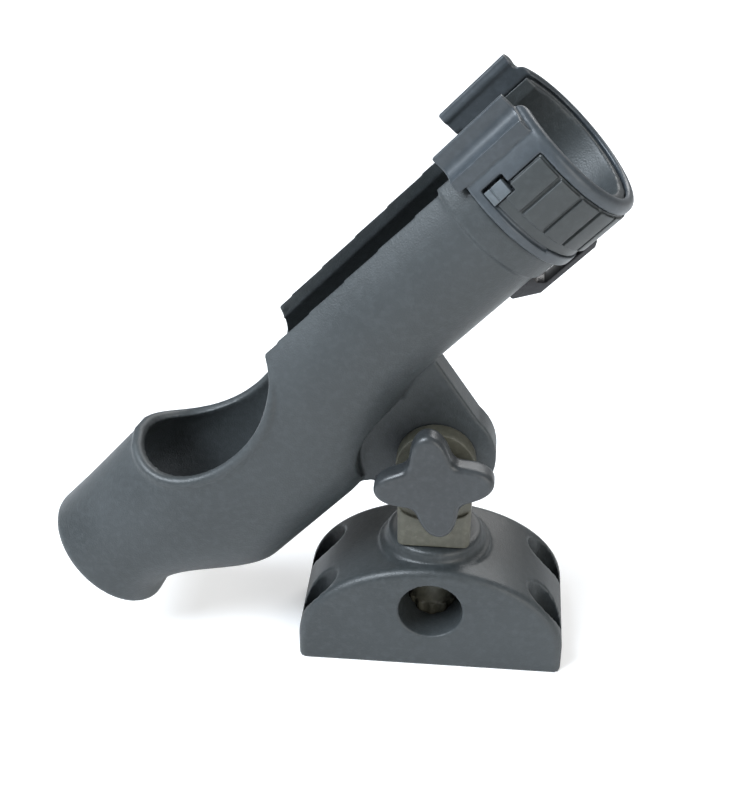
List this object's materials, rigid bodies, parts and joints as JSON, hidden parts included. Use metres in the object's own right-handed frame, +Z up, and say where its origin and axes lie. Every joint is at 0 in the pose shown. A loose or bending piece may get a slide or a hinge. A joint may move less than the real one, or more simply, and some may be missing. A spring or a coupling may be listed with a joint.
{
  "type": "rod holder",
  "caption": "Adjustable fishing rod holder: slotted tube with a turning lock ring, on a tilting splined post that seats in an arched deck mount.",
  "frame": {"origin": "centre of the deck mount's flat underside, on the deck", "axes": "+Z up out of the deck, X along the holder's plane with +X towards the tube's mouth, -Y on the clamp knob's side"},
  "size_m": [0.2154, 0.0642, 0.2349],
  "materials": {
    "charcoal_moulding": "moulded with a fine grain",
    "ring_moulding": "moulded, slightly smoother",
    "grip_moulding": "moulded with raised panels",
    "olive_moulding": "glass-filled, slightly dull",
    "catch_moulding": "smooth dark",
    "knob_moulding": "moulded with a fine grain",
    "brass": "turned",
    "stainless": "bright"
  },
  "bodies": {
    "mount": {"deck_mount": "charcoal_moulding"},
    "post": {"stem": "olive_moulding"},
    "holder": {"holder_body": "charcoal_moulding", "ring_catch": "catch_moulding", "pivot_bolt": "stainless", "bolt_washer": "stainless", "wave_washer": "stainless"},
    "ring": {"lock_ring": "ring_moulding", "ring_grip": "grip_moulding", "ring_detent": "ring_moulding"},
    "clamp": {"thrust_washer": "stainless"},
    "knob": {"knob": "knob_moulding", "knob_insert": "brass"}
  },
  "joints": [
    {"name": "stem_lift", "type": "slide", "parent": "mount", "child": "post", "axis": [0, 0, 1], "range_m": [0, 0.038]},
    {"name": "holder_tilt", "type": "hinge", "parent": "post", "child": "holder", "pos_m": [0, 0, 0.0868], "axis": [0, -1, 0], "range_deg": [-75, 2]},
    {"name": "ring_turn", "type": "hinge", "parent": "holder", "child": "ring", "pos_m": [-0.04164, 0, 0.12631], "axis": [0.6884, 0, 0.7254], "range_deg": [-115, 115]},
    {"name": "knob_travel", "type": "slide", "parent": "holder", "child": "clamp", "axis": [0, -1, 0], "range_m": [0, 0.0019]},
    {"name": "knob_turn", "type": "hinge", "parent": "clamp", "child": "knob", "pos_m": [0, 0, 0.0868], "axis": [0, -1, 0], "range_deg": [0, 540]}
  ],
  "couplings": [
    {"joint": "knob_travel", "follows": "knob_turn", "m_per_rad": 0.00019894}
  ]
}
